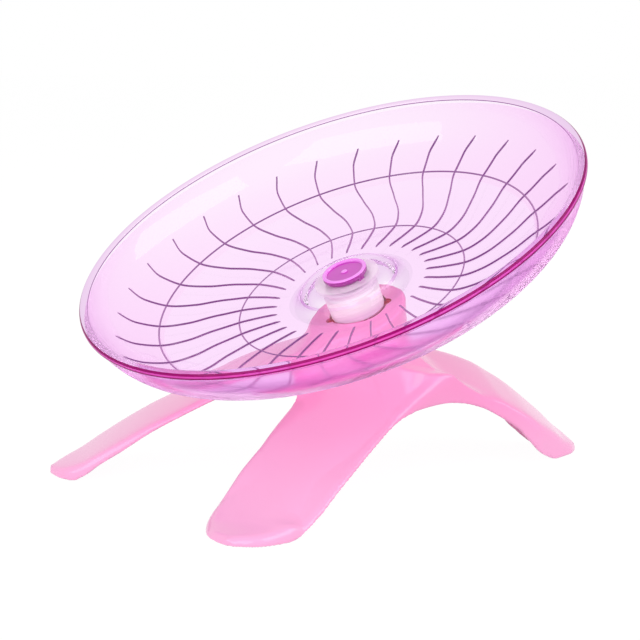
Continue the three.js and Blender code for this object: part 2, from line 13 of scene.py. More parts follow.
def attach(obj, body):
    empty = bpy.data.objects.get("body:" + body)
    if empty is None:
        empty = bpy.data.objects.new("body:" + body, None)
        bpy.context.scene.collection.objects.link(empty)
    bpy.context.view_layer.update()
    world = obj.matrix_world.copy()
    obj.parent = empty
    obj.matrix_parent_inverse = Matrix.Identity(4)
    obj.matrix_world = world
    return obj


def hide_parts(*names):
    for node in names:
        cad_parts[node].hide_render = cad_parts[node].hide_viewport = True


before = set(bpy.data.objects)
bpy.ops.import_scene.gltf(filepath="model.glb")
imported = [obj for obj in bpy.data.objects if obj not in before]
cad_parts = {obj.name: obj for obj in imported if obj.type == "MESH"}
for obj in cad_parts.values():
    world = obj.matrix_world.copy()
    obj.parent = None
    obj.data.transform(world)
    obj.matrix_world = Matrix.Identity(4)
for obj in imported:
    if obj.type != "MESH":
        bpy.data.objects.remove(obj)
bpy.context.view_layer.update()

MM = 0.001
STAND_BODY = "stand_assembly"
SAUCER_BODY = "saucer_assembly"

# Meshes
TURN_COLUMNS = 96
ROD_COLUMNS = 24
ROUND_STEPS = 5
SHARP_ANGLE = 40
SHARP_DISH_ANGLE = 50
ON_AXIS = 1e-6
OVERRUN = 1.0
LONG_OVERRUN = 2.0

# Placement
TILT = 26.9
STAND_SHIFT = (0, 12.99, 0)
SEAT_CENTRE = (0, 13.79, 55.3)
GAP = 0.3

# Camera, fitted to the rim's ellipse in the photo
CAMERA_SPOT = (331.5, -346.6, 137.9)
CAMERA_HEADING = (-0.697, 0.717)
CAMERA_DIP = 10.0
CAMERA_LENS = 79.13
CAMERA_SENSOR = 36.0
CAMERA_NEAREST = 10.0

# Lamps and floor
LAMPS = [
    {"name": "front_box", "spot": (120, -1200, 550), "size": (1600, 900), "power": 9},
    {"name": "side_box", "spot": (950, 250, 950), "size": (1600, 750), "power": 9},
]
LAMP_AIM = (0, 0, 50)
FLOOR_REACH = 60000
FLOOR_GLOW = 1.04
FLOOR_GLOW_SHARE = 0.93
WORLD_LIGHT = 0.49
WORLD_SEEN = 1.0

# Dish
RIM_RADIUS = 89.85
BEAD_RADIUS = 1.6
BEAD_FIRST = 165
BEAD_LAST = -75
BEAD_STEPS = 24
BEAD_CLEAR_SHARE = 1.15
HUB_ZONE = 22.0
FROST_ZONE = 12.0
HAZE_ZONE = 69.0
FROST_EDGE = 11.6
DISH_WALL = 2.0
FLOOR_TOP = 9.1
BOWL_DEPTH = 27.4
RIM_HEIGHT = FLOOR_TOP + BOWL_DEPTH
BOWL_RADIUS = 86.9
BOWL_SHARES = [
    (0.314, 1), (0.474, 0.99), (0.65, 0.892), (0.789, 0.73), (0.86, 0.61), (0.925, 0.46), (0.968, 0.29),
    (0.992, 0.12), (1, 0),
]
STEEP_SHARE = 0.93
STEEP_ROWS = 14
STEEP_LAST_SHARE = 0.03
DOME_RADIUS = 16.4
DOME_RISE = 5.0
DOME_SPREAD = 2.6
DOME_FOOT = DOME_RADIUS + DOME_SPREAD
DOME_WALL = 1.7
DOME_STEPS = 6
DOME_ROUND = 3.2
DOME_FOOT_ROUND = 3.6
DOME_APRON = 8.0
DOME_UNDER_ROUND = 2.6
DOME_UNDER_SHARE = 0.7
HUB_HOLE = 2.5
HUB_RECESS = 4.3
RECESS_DEPTH = 0.9
BOSS_RADIUS = 5.0
BOSS_DROP = 0.8
DOME_TOP = FLOOR_TOP + DOME_RISE
DOME_CEILING = DOME_TOP - DOME_WALL
BOSS_FOOT = DOME_CEILING - BOSS_DROP
ROWS_RUN = 5.0
UNDER_RUN = 2.0
ROW_STEP = 1.3
COLUMNS_BETWEEN = 7

# Grip ribs and rings
RIB_COUNT = 30
RIB_FIRST = 8.5
RIB_HALF = 0.34
RIB_HEIGHT = 0.55
RIB_WIDEST_SHARE = 0.3
RIB_ACROSS_SHARES = [(-1, 0), (-0.55, 0.9), (0, 1), (0.55, 0.9), (1, 0)]
RIB_SHARES = [
    (0.314, 4.4), (0.39, 1.3), (0.47, 0), (0.56, 2.0), (0.68, 7.0), (0.79, 9.9), (0.87, 9.6), (0.938, 7.5),
]
RIB_START = RIB_SHARES[0][0] * BOWL_RADIUS
RIB_END = RIB_SHARES[-1][0] * BOWL_RADIUS
RIB_END_RUN = 1.6
RING_RADII = [41.2, 68.6]
RING_HALF = 0.3
RING_HEIGHT = 0.3
RING_CLEAR = 0.2
RING_ACROSS_SHARES = [(-1, 0), (-0.4, 0.9), (0.4, 0.9), (1, 0)]

# Cap
CAP_RADIUS = 8.0
CAP_DISC = 6.7
CAP_DISC_ROUND = 0.2
CAP_DISC_RUN = 0.3
CAP_HEIGHT = 2.6
CAP_SINK = 0.8
CAP_FOOT = DOME_TOP + GAP
CAP_TOP = DOME_TOP + CAP_HEIGHT
CAP_DISC_TOP = CAP_TOP - CAP_SINK
CAP_RING_ROUND = 0.3
CAP_RING_SHARE = 0.6
CAP_EDGE_ROUND = 0.6
CAP_STEP_RISE = 0.7
CAP_STEP_SLOPE = 0.2
CAP_STEP_ROUND = 0.2
CAP_SKIRT = 7.4
CAP_HOLLOW = 4.6
CAP_ROOF = 0.8
NUB_RADIUS = 1.5
NUB_FLAT = 0.9
NUB_HEIGHT = 0.5
NUB_EDGE = 0.02
NUB_ROUND = 0.3
PRONG_WIDTH = 2.6
PRONG_THICKNESS = 1.0
PRONG_RADIUS = 6.3
PRONG_ROOT = 0.3
PRONG_HOOK = 0.5
PRONG_HOOK_HEIGHT = 0.7

# Bearing seat
SEAT_RADIUS = 9.8
SEAT_RISE = 11.3
SEAT_STEP_DROP = 2.0
SEAT_STEP = 0.8
SEAT_POCKET = 8.3
SEAT_LEDGE = 4.3
SEAT_WELL = 6.5
SEAT_FLOOR = 1.8
SEAT_ROUND = 0.5
SEAT_FOOT_ROUND = 0.3
SEAT_LIP_ROUND = 0.4
SEAT_POCKET_ROUND = 0.2

# Stand's neck and its holes
WALL = 2.4
NECK_TOP = 17.5
NECK_PLATE = 2.6
NECK_FOOT = 19.5
NECK_FOOT_HEIGHT = 25.3
NECK_SHIFT = (7.0, 0.9)
NECK_SHARES = [(0, 0), (0.12, 0.02), (0.3, 0.1), (0.5, 0.28), (0.7, 0.56), (0.86, 0.83), (1, 1)]
NECK_ROUND = 1.6
NECK_PASSES = 5
GROOVE_WIDTH = 0.7
GROOVE_DEPTH = 0.6
GROOVE_SLACK_SHARE = 1.1
RECESS_CIRCLE = 10.4
RECESS_RADIUS = 1.8
RECESS_SINK = 0.3
RECESS_EDGE = 0.02
RECESS_ANGLES = [40, 238]
SCREW_CIRCLE = 8.25
SCREW_ANGLES = [-44, 136]
SCREW_HOLE = 1.2

# Stand's legs
LEG_CROWN = 1.2
LEG_EDGE = 1.8
LEG_EDGE_ROLL_SHARE = 0.6
LEG_EDGE_FADE = 3
LEG_HOLLOW_SHARE = 0.86
LEG_ROUND_SHARE = 0.3
LEG_SHOULDER_POWER = 8
LEAN_POWER = 2.5
# A leg's shares run from the neck to its tip. Its start lies behind the neck's middle, may slant and is
# softened. Behind the middle its upper face falls, and its one side leans down. On the other side, steep
# says how soon its lower edge gives way to the next one.
LEFT_LEG = {
    "azimuth": 231.2, "length": 108, "half": 17.5, "roll": 0, "top": 49, "edge": 36, "round": 1.0,
    "start": 2, "slant": 0, "fall": 0, "lean": 0, "steep": 1, "soften": 14,
    "offset_shares": [
        (0, -0.2), (0.1, -0.21), (0.2, -0.2), (0.28, -0.13), (0.37, -0.05), (0.46, 0), (1, 0),
    ],
    "width_shares": [
        (0, 0.8), (0.1, 0.86), (0.2, 0.9), (0.28, 0.96), (0.37, 1.01), (0.46, 1.03), (0.65, 0.99),
        (0.76, 0.97), (0.86, 0.88), (0.93, 0.7), (0.97, 0.48), (1, 0.15),
    ],
    "top_shares": [
        (0, 0.96), (0.2, 0.865), (0.343, 0.765), (0.463, 0.645), (0.602, 0.495), (0.676, 0.418),
        (0.778, 0.293), (0.843, 0.208), (0.907, 0.125), (0.963, 0.075), (1, 0.049),
    ],
    "edge_shares": [
        (0, 1), (0.2, 0.99), (0.348, 0.94), (0.472, 0.785), (0.584, 0.622), (0.679, 0.472), (0.773, 0.292),
        (0.837, 0.172), (0.889, 0.055), (0.93, 0), (1, 0),
    ],
}
FRONT_LEG = {
    "azimuth": 286.2, "length": 100, "half": 18, "roll": -3.5, "top": 42, "edge": 23.9, "round": 1.4,
    "start": 2, "slant": 0.9, "fall": 1.6, "lean": 4.5, "steep": 4, "soften": 1,
    "offset_shares": [
        (0, 0.52), (0.3, 0.5), (0.5, 0.485), (0.6, 0.48), (0.75, 0.47), (0.87, 0.42), (1, 0.42),
    ],
    "width_shares": [
        (0, 1.17), (0.2, 1.15), (0.3, 1.12), (0.4, 1.1), (0.5, 1.08), (0.6, 1.065), (0.7, 1.03), (0.8, 0.98),
        (0.87, 0.87), (0.94, 0.65), (0.975, 0.44), (1, 0.12),
    ],
    "top_shares": [
        (0, 0.8), (0.07, 0.79), (0.14, 0.765), (0.22, 0.712), (0.3, 0.652), (0.376, 0.586), (0.45, 0.514),
        (0.52, 0.436), (0.587, 0.36), (0.655, 0.29), (0.72, 0.225), (0.788, 0.165), (0.85, 0.118),
        (0.9, 0.09), (1, 0.06),
    ],
    "edge_shares": [
        (0, 1.09), (0.14, 1.07), (0.246, 1.01), (0.315, 0.92), (0.381, 0.825), (0.448, 0.725),
        (0.516, 0.62), (0.582, 0.52), (0.645, 0.42), (0.706, 0.3), (0.777, 0.16), (0.82, 0.08), (0.88, 0),
        (1, 0),
    ],
}
RIGHT_LEG = {
    "azimuth": 56.2, "length": 82.8, "half": 17.5, "roll": -11.9, "top": 50, "edge": 25.1, "round": 0.8,
    "start": 2, "slant": 0, "fall": 0, "lean": 0, "steep": 1, "soften": 14,
    "offset_shares": [(0, -0.15), (0.08, -0.18), (0.16, -0.18), (0.3, -0.06), (0.43, 0), (1, 0)],
    "width_shares": [
        (0, 0.75), (0.08, 0.92), (0.16, 1.02), (0.3, 1.05), (0.43, 1.05), (0.58, 1), (0.747, 0.95),
        (0.831, 0.77), (0.867, 0.68), (0.916, 0.54), (0.964, 0.37), (1, 0.12),
    ],
    "top_shares": [
        (0, 0.84), (0.106, 0.78), (0.3, 0.715), (0.434, 0.66), (0.573, 0.578), (0.642, 0.51),
        (0.713, 0.436), (0.788, 0.342), (0.877, 0.222), (0.923, 0.15), (0.964, 0.1), (1, 0.055),
    ],
    "edge_shares": [
        (0, 1.03), (0.2, 1.035), (0.3, 1.02), (0.394, 0.985), (0.482, 0.9), (0.575, 0.735), (0.669, 0.52),
        (0.716, 0.355), (0.766, 0.175), (0.808, 0.08), (0.87, 0), (1, 0),
    ],
}
LEGS = [LEFT_LEG, FRONT_LEG, RIGHT_LEG]

# Field that the stand's skin is taken from
FIELD_STEP = 0.6
FIELD_LOW = (-92, -116, -3)
FIELD_HIGH = (70, 84, 66)
FIELD_REACH = 4.0
BLEND_NECK = 10.0
BLEND_LEFT = 6.0
BLEND_LEGS = 26.0
BLEND_INSIDE = 0.8
EDGE_ROUND = 0.6
EDGE_FADE = 2.5
LEAST_WEIGHT = 1e-6
SLOPE_STEP = 0.01
NECK_BOX = [(-36, 48), (-40, 40), (-3, 66)]
FAR = 60.0

# Finishes
LAST_BOUNCE = 5.5
CLEAR_IOR = 1.05
CLEAR_GRAIN = 90
CLEAR_BUMP = 0.03
COAT_ROUGHNESS = 0.05
PLASTIC_GRAIN = 400
PLASTIC_BUMP = 0.05
STEEL_GRAIN = 1500
STEEL_BUMP = 0.15
STEEL_DRIFT = 500
STEEL_SHADE = 0.8
STEEL_SPREAD = 0.15
BUMP_HEIGHT = 0.1
GRAIN_DETAIL = 3
DRIFT_DETAIL = 1
DRIFT_SHARES = (0.35, 0.65)
# Heights over which the painted floor light fades out
FLOOR_LIGHT_LOW = 4.0
FLOOR_LIGHT_HIGH = 32.0
MIX_FIRST = 6
MIX_SECOND = 7
MIX_RESULT = 2


def axis_matrix():
    """From the spin axis's frame, with its origin on the stand's top face, to the model's, in metres."""
    place = Matrix.Translation(Vector(SEAT_CENTRE) * MM)
    return place @ Matrix.Rotation(math.radians(TILT), 4, "X") @ Matrix.Scale(MM, 4)


def stand_matrix():
    return Matrix.Translation(Vector(STAND_SHIFT) * MM) @ Matrix.Scale(MM, 4)


def curve_through(pairs):
    """A smooth curve through (place, value) pairs that never overshoots them."""
    places = np.array([pair[0] for pair in pairs], float)
    values = np.array([pair[1] for pair in pairs], float)
    spans = np.diff(places)
    rates = np.diff(values) / spans
    slopes = np.zeros(len(places))
    slopes[0] = rates[0]
    slopes[-1] = rates[-1]
    for i in range(1, len(places) - 1):
        before = rates[i - 1]
        after = rates[i]
        slopes[i] = 0 if before * after <= 0 else 2 * before * after / (before + after)

    def value(at):
        at = np.asarray(at, float)
        i = np.clip(np.searchsorted(places, at) - 1, 0, len(spans) - 1)
        t = np.clip((at - places[i]) / spans[i], 0, 1)
        near = (1 + 2 * t) * (1 - t) ** 2 * values[i] + t * (1 - t) ** 2 * spans[i] * slopes[i]
        return near + t ** 2 * (3 - 2 * t) * values[i + 1] + t ** 2 * (t - 1) * spans[i] * slopes[i + 1]

    return value


def add_mesh(name, points, faces, matrix, material_slots=(), face_slots=None, sharp=SHARP_ANGLE):
    """A piece from points and faces, placed by a matrix, smooth except at its sharp edges."""
    mesh = bpy.data.meshes.new(name)
    mesh.from_pydata([tuple(p) for p in points], [], [tuple(f) for f in faces])
    mesh.transform(matrix)
    piece = bpy.data.objects.new(name, mesh)
    bpy.context.scene.collection.objects.link(piece)
    for material in material_slots:
        mesh.materials.append(material)
    if face_slots is not None:
        mesh.polygons.foreach_set("material_index", np.asarray(face_slots, np.int32))
    smooth(mesh, sharp)
    return piece


def smooth(mesh, sharp):
    mesh.shade_smooth()
    mesh.set_sharp_from_angle(angle=math.radians(sharp))
    mesh.update()


def lathe(name, profile, matrix, materials, columns=TURN_COLUMNS, sharp=SHARP_ANGLE):
    """A closed solid of revolution from a closed [radius, height] outline, which may touch the axis."""
    points = []
    rows = []
    for radius, height in profile:
        if radius < ON_AXIS:
            rows.append([len(points)] * columns)
            points.append((0, 0, height))
            continue
        rows.append(list(range(len(points), len(points) + columns)))
        for j in range(columns):
            angle = 2 * math.pi * j / columns
            points.append((radius * math.cos(angle), radius * math.sin(angle), height))
    faces = []
    for i, row in enumerate(rows):
        above = rows[(i + 1) % len(rows)]
        for j in range(columns):
            k = (j + 1) % columns
            face = []
            for corner in (row[j], row[k], above[k], above[j]):
                if corner not in face:
                    face.append(corner)
            if len(face) > 2:
                faces.append(face)
    piece = add_mesh(name, points, faces, matrix, materials, sharp=sharp)
    turn_outwards(piece.data)
    return piece


def turn_outwards(mesh):
    """Flips a closed mesh whose faces point inwards."""
    volume = 0.0
    for polygon in mesh.polygons:
        corners = [mesh.vertices[i].co for i in polygon.vertices]
        for i in range(1, len(corners) - 1):
            volume += corners[0].dot(corners[i].cross(corners[i + 1]))
    if volume < 0:
        mesh.flip_normals()


def rounded(outline, cuts, steps=ROUND_STEPS):
    """A closed outline with the corners named in cuts, as {index: size}, rounded off."""
    result = []
    count = len(outline)
    for i, corner in enumerate(outline):
        here = Vector(corner)
        if i not in cuts:
            result.append(tuple(here))
            continue
        size = cuts[i]
        start = here + (Vector(outline[i - 1]) - here).normalized() * size
        end = here + (Vector(outline[(i + 1) % count]) - here).normalized() * size
        for k in range(steps + 1):
            t = k / steps
            result.append(tuple((1 - t) ** 2 * start + 2 * t * (1 - t) * here + t ** 2 * end))
    return result


def combine(piece, others, operation="DIFFERENCE", solver="EXACT"):
    """Takes other solids out of a piece, or joins them to it, and deletes them."""
    for other in others:
        modifier = piece.modifiers.new("combine", "BOOLEAN")
        modifier.operation = operation
        modifier.solver = solver
        modifier.object = other
    depsgraph = bpy.context.evaluated_depsgraph_get()
    result = bpy.data.meshes.new_from_object(piece.evaluated_get(depsgraph))
    piece.modifiers.clear()
    piece.data = result
    for other in others:
        bpy.data.objects.remove(other)


def block(name, low, high, matrix):
    """A box between two corners."""
    points = []
    for z in (low[2], high[2]):
        points += [(low[0], low[1], z), (high[0], low[1], z), (high[0], high[1], z), (low[0], high[1], z)]
    faces = [(3, 2, 1, 0), (4, 5, 6, 7), (0, 1, 5, 4), (1, 2, 6, 5), (2, 3, 7, 6), (3, 0, 4, 7)]
    return add_mesh(name, points, faces, matrix)


def rod(circle, angle, radius, low, high):
    """An upright rod on a circle round the spin axis."""
    turn = math.radians(angle)
    shift = Matrix.Translation((circle * math.cos(turn), circle * math.sin(turn), 0))
    profile = [(0, low), (radius, low), (radius, high), (0, high)]
    return lathe("rod", profile, axis_matrix() @ shift, [], ROD_COLUMNS)


# Materials
def new_material(name):
    material = bpy.data.materials.new(name)
    material.use_nodes = True
    nodes = material.node_tree.nodes
    links = material.node_tree.links
    return material, nodes, links, nodes["Principled BSDF"]


def linear(red, green, blue):
    """A colour of 0 to 255 a channel in the shader's own scale."""
    shares = [value / 255 for value in (red, green, blue)]
    return tuple(c / 12.92 if c <= 0.04045 else ((c + 0.055) / 1.055) ** 2.4 for c in shares) + (1,)


def feed(links, source, place):
    """Gives an input its source: another node's output, or a value."""
    if isinstance(source, bpy.types.NodeSocket):
        links.new(source, place)
    else:
        place.default_value = source


def maths(nodes, links, operation, first, second):
    """An operation on two sources, as its output."""
    node = nodes.new("ShaderNodeMath")
    node.operation = operation
    feed(links, first, node.inputs[0])
    feed(links, second, node.inputs[1])
    return node.outputs[0]


def mixed_colour(nodes, links, share, first, second):
    """A mix of two colours, as its output."""
    node = nodes.new("ShaderNodeMix")
    node.data_type = "RGBA"
    links.new(share, node.inputs["Factor"])
    feed(links, first, node.inputs[MIX_FIRST])
    feed(links, second, node.inputs[MIX_SECOND])
    return node.outputs[MIX_RESULT]


def mixed_surface(nodes, links, share, first, second):
    """Joins two surfaces, the second by a share, and shows them."""
    node = nodes.new("ShaderNodeMixShader")
    links.new(share, node.inputs["Fac"])
    links.new(first, node.inputs[1])
    links.new(second, node.inputs[2])
    links.new(node.outputs["Shader"], nodes["Material Output"].inputs["Surface"])


def seen_straight(nodes, links):
    """1 for what the camera sees by itself, mirrored or through the clear parts, and 0 for the rest."""
    ray = nodes.new("ShaderNodeLightPath")
    direct = maths(nodes, links, "MAXIMUM", ray.outputs["Is Camera Ray"], ray.outputs["Is Glossy Ray"])
    return maths(nodes, links, "MAXIMUM", direct, ray.outputs["Is Transmission Ray"])


def fine_bump(nodes, links, shader, scale, strength):
    """Faint moulded unevenness."""
    place = nodes.new("ShaderNodeTexCoord")
    noise = nodes.new("ShaderNodeTexNoise")
    noise.inputs["Scale"].default_value = scale
    noise.inputs["Detail"].default_value = GRAIN_DETAIL
    bump = nodes.new("ShaderNodeBump")
    bump.inputs["Strength"].default_value = strength
    bump.inputs["Distance"].default_value = BUMP_HEIGHT * MM
    links.new(place.outputs["Object"], noise.inputs["Vector"])
    links.new(noise.outputs["Fac"], bump.inputs["Height"])
    links.new(bump.outputs["Normal"], shader.inputs["Normal"])
    return place, noise


def colour_drift(nodes, links, place, first, second, scale):
    """A slow drift between two near colours, as its output."""
    noise = nodes.new("ShaderNodeTexNoise")
    noise.inputs["Scale"].default_value = scale
    noise.inputs["Detail"].default_value = DRIFT_DETAIL
    ramp = nodes.new("ShaderNodeValToRGB")
    for element, share, colour in zip(ramp.color_ramp.elements, DRIFT_SHARES, (first, second)):
        element.position = share
        element.color = colour
    links.new(place.outputs["Object"], noise.inputs["Vector"])
    links.new(noise.outputs["Fac"], ramp.inputs["Fac"])
    return ramp.outputs["Color"]


def clear_material(name, face_on, edge_on, blend=0.35, clear=1.0, coat=0.7, haze=0.02, hidden_inside=0.0):
    """Tinted clear plastic, deeper in colour where it is seen edge-on.

    Lamps shine through it, and light that has bounced about in its wall for long leaves it.
    """
    material, nodes, links, shader = new_material(name)
    shader.inputs["Transmission Weight"].default_value = clear
    shader.inputs["Roughness"].default_value = haze
    shader.inputs["IOR"].default_value = CLEAR_IOR
    shader.inputs["Coat Weight"].default_value = coat
    shader.inputs["Coat Roughness"].default_value = COAT_ROUGHNESS
    fine_bump(nodes, links, shader, CLEAR_GRAIN, CLEAR_BUMP)
    facing = nodes.new("ShaderNodeLayerWeight")
    facing.inputs["Blend"].default_value = blend
    tint = mixed_colour(nodes, links, facing.outputs["Facing"], face_on, edge_on)
    links.new(tint, shader.inputs["Base Color"])
    ray = nodes.new("ShaderNodeLightPath")
    soft = maths(nodes, links, "MAXIMUM", ray.outputs["Is Shadow Ray"], ray.outputs["Is Diffuse Ray"])
    late = maths(nodes, links, "GREATER_THAN", ray.outputs["Ray Depth"], LAST_BOUNCE)
    share = maths(nodes, links, "MAXIMUM", soft, late)
    if hidden_inside:
        side = nodes.new("ShaderNodeNewGeometry")
        hidden = maths(nodes, links, "MULTIPLY", side.outputs["Backfacing"], hidden_inside)
        share = maths(nodes, links, "MAXIMUM", share, hidden)
    passing = nodes.new("ShaderNodeBsdfTransparent")
    mixed_surface(nodes, links, share, shader.outputs["BSDF"], passing.outputs["BSDF"])
    return material


def paint_floor_light(nodes, links, place, colour, floor_light_tint):
    """A colour that is paler near the floor, a painted light for the floor's bounce and a lamp's reflection,
    as its output.
    """
    parts = nodes.new("ShaderNodeSeparateXYZ")
    height = nodes.new("ShaderNodeMapRange")
    height.interpolation_type = "SMOOTHSTEP"
    height.inputs["From Min"].default_value = FLOOR_LIGHT_LOW * MM
    height.inputs["From Max"].default_value = FLOOR_LIGHT_HIGH * MM
    links.new(place.outputs["Object"], parts.inputs["Vector"])
    links.new(parts.outputs["Z"], height.inputs["Value"])
    return mixed_colour(nodes, links, height.outputs["Result"], floor_light_tint, colour)


def plastic(name, first, second, roughness=0.12, scale=60, coat=0.0, floor_light_tint=None, gloss=0.5):
    """Moulded opaque plastic, which may be paler near the floor by painted light."""
    material, nodes, links, shader = new_material(name)
    shader.inputs["Roughness"].default_value = roughness
    shader.inputs["Specular IOR Level"].default_value = gloss
    shader.inputs["Coat Weight"].default_value = coat
    shader.inputs["Coat Roughness"].default_value = COAT_ROUGHNESS
    place, _ = fine_bump(nodes, links, shader, PLASTIC_GRAIN, PLASTIC_BUMP)
    colour = colour_drift(nodes, links, place, first, second, scale)
    if floor_light_tint:
        colour = paint_floor_light(nodes, links, place, colour, floor_light_tint)
    links.new(colour, shader.inputs["Base Color"])
    return material


def steel(name, tint, roughness):
    """Turned steel with fine grain."""
    material, nodes, links, shader = new_material(name)
    shader.inputs["Metallic"].default_value = 1
    place, noise = fine_bump(nodes, links, shader, STEEL_GRAIN, STEEL_BUMP)
    shade = tuple(STEEL_SHADE * c for c in tint[:3]) + (1,)
    links.new(colour_drift(nodes, links, place, tint, shade, STEEL_DRIFT), shader.inputs["Base Color"])
    spread = nodes.new("ShaderNodeMapRange")
    spread.inputs["To Min"].default_value = roughness
    spread.inputs["To Max"].default_value = roughness + STEEL_SPREAD
    links.new(noise.outputs["Fac"], spread.inputs["Value"])
    links.new(spread.outputs["Result"], shader.inputs["Roughness"])
    return material


# The dish's finishes, with painted shade and a painted highlight among them, each with its slot in the
# dish's mesh
CLEAR, RIB_SHADE, HUB, LIGHT, BEAD_SHADE, BEAD_HIGHLIGHT, VIOLET, FROST, HAZE, BEAD_SHADE_LINE = range(10)
DISH_MATERIALS = [
    clear_material("dish_clear", linear(255, 238, 255), linear(244, 184, 247)),
    # Ribs and rings: a deep purple painted shade, standing in for the dark refraction seen through them
    clear_material("rib_painted_shade", linear(104, 44, 114), linear(196, 132, 196), 0.4, 0.3, hidden_inside=0.7),
    clear_material("hub_clear", linear(255, 246, 255), linear(196, 66, 206), 0.3),
    clear_material("rim_light", linear(246, 200, 246), linear(160, 54, 172), 0.3),
    # Painted shade and a painted highlight for the rim's bead: dark strips and a bright strip
    clear_material("rim_painted_shade", linear(150, 0, 100), linear(112, 0, 76), 0.3, 0.15, 0.2, hidden_inside=1),
    clear_material("rim_painted_highlight", linear(228, 70, 184), linear(190, 30, 150), 0.3, 0.4, 0.3, hidden_inside=1),
    clear_material("rim_violet", linear(240, 180, 240), linear(196, 70, 196), 0.25, 0.9, hidden_inside=1),
    clear_material("hub_frost", linear(254, 240, 252), linear(240, 196, 236), 0.3, clear=0.45, haze=0.2),
    clear_material("wall_haze", linear(255, 237, 255), linear(245, 143, 235), 0.4, coat=0.0, haze=0.32),
    # A thin painted shade line where the bead meets the wall
    clear_material("rim_painted_shade_line", linear(130, 50, 140), linear(110, 30, 120), 0.3, clear=0.2, hidden_inside=1),
]
# Strips of the rim's bead: the angle that each reaches down to, and its slot. The dark strips and the thin
# line are painted shade and the bright strip a painted highlight, fixed bands standing in for the bead's
# refraction and gloss
BEAD_STRIPS = [(150, BEAD_SHADE_LINE), (58, LIGHT), (20, BEAD_SHADE), (6, BEAD_HIGHLIGHT), (-12, BEAD_SHADE), (-75, VIOLET)]

# The cap is one magenta plastic: the ring's paler colour is a painted highlight, and the side's darker
# colour a painted shade
cap_ring_painted_highlight = plastic("cap_ring_painted_highlight", linear(246, 136, 244), linear(238, 124, 236), coat=0.5)
cap_disc = plastic("cap_disc", linear(204, 44, 190), linear(190, 36, 178), coat=0.3)
cap_side_painted_shade = plastic("cap_side_painted_shade", linear(172, 48, 160), linear(160, 40, 150), coat=0.5)
seat_plastic = plastic("seat_plastic", linear(250, 238, 246), linear(240, 225, 236), 0.3)
# The stand's pink, paler near the floor by painted light standing in for the floor's bounce and a lamp's
# reflection
stand_plastic = plastic("stand_plastic", linear(250, 149, 204), linear(247, 141, 198), 0.18, 12, 0.1,
                        linear(251, 170, 216))
cage_plastic = plastic("cage_plastic", linear(216, 208, 184), linear(205, 196, 170), 0.5, 200)
# Painted shade: the red floors of the recesses stand in for dark holes seen through the magenta, and the
# groove's colour for the shade in it
recess_painted_shade = plastic("recess_painted_shade", linear(196, 0, 72), linear(184, 0, 64), 0.5, gloss=0.05)
groove_painted_shade = plastic("groove_painted_shade", linear(176, 84, 112), linear(160, 72, 98), 0.5, gloss=0.1)
bearing_steel = steel("bearing_steel", (0.62, 0.63, 0.65, 1), 0.12)
plain_steel = steel("plain_steel", (0.45, 0.46, 0.48, 1), 0.28)


# Dish
def bowl_height(radius):
    """Height of the bowl's inner face at a radius, rounder than the solid's facets."""
    pairs = [(share * BOWL_RADIUS, RIM_HEIGHT - depth * BOWL_DEPTH) for share, depth in BOWL_SHARES]
    return curve_through(pairs)(radius)


def hub_rows():
    """The upper side from the hub's hole over the dome."""
    head_seat = DOME_TOP - RECESS_DEPTH
    rows = [
        (HUB_HOLE, BOSS_FOOT), (HUB_HOLE, head_seat), (HUB_RECESS, head_seat), (HUB_RECESS, DOME_TOP),
        (FROST_EDGE, DOME_TOP),
    ]
    shape = [
        (FROST_EDGE, DOME_TOP), (DOME_RADIUS, DOME_TOP), (DOME_FOOT, FLOOR_TOP),
        (DOME_FOOT + DOME_APRON, FLOOR_TOP),
    ]
    return rows + rounded(shape, {1: DOME_ROUND, 2: DOME_FOOT_ROUND}, DOME_STEPS)[1:-1]


def bowl_rows():
    """The bowl's inner face as far as it is flatter, with the two raised rings."""
    bumps = {}
    for at in RING_RADII:
        for side, share in RING_ACROSS_SHARES:
            bumps[at + side * RING_HALF] = share * RING_HEIGHT
    radii = set(np.arange(DOME_FOOT + ROWS_RUN, BOWL_RADIUS * STEEP_SHARE, ROW_STEP).tolist())
    radii |= {RIB_START, RIB_START + RIB_END_RUN / 2, RIB_START + RIB_END_RUN}
    radii |= {RIB_END - RIB_END_RUN, RIB_END - RIB_END_RUN / 2, RIB_END}
    lifts = {r: 0 for r in radii if all(abs(r - at) > RING_HALF + RING_CLEAR for at in RING_RADII)}
    lifts.update(bumps)
    rows = []
    for radius in sorted(lifts):
        kind = "ring" if radius in bumps else "dish"
        rows.append((radius, float(bowl_height(radius)) + lifts[radius], kind))
    return rows


def steep_rows(last_height):
    """The bowl's inner face from there up to the rim, in even steps of height."""
    share_at = curve_through([(depth, share) for share, depth in reversed(BOWL_SHARES)])
    depth = (RIM_HEIGHT - last_height) / BOWL_DEPTH
    rows = []
    for d in np.linspace(depth, STEEP_LAST_SHARE, STEEP_ROWS)[1:]:
        rows.append((float(share_at(d)) * BOWL_RADIUS, RIM_HEIGHT - d * BOWL_DEPTH))
    return rows


def bead_angle(step):
    """The angle round the bead's middle at a step, in degrees."""
    return BEAD_FIRST + (BEAD_LAST - BEAD_FIRST) * step / BEAD_STEPS


def bead_rows():
    """The round bead over the rim."""
    centre = RIM_RADIUS - BEAD_RADIUS
    rows = []
    for i in range(BEAD_STEPS + 1):
        angle = math.radians(bead_angle(i))
        rows.append((centre + BEAD_RADIUS * math.cos(angle), RIM_HEIGHT + BEAD_RADIUS * math.sin(angle)))
    return rows


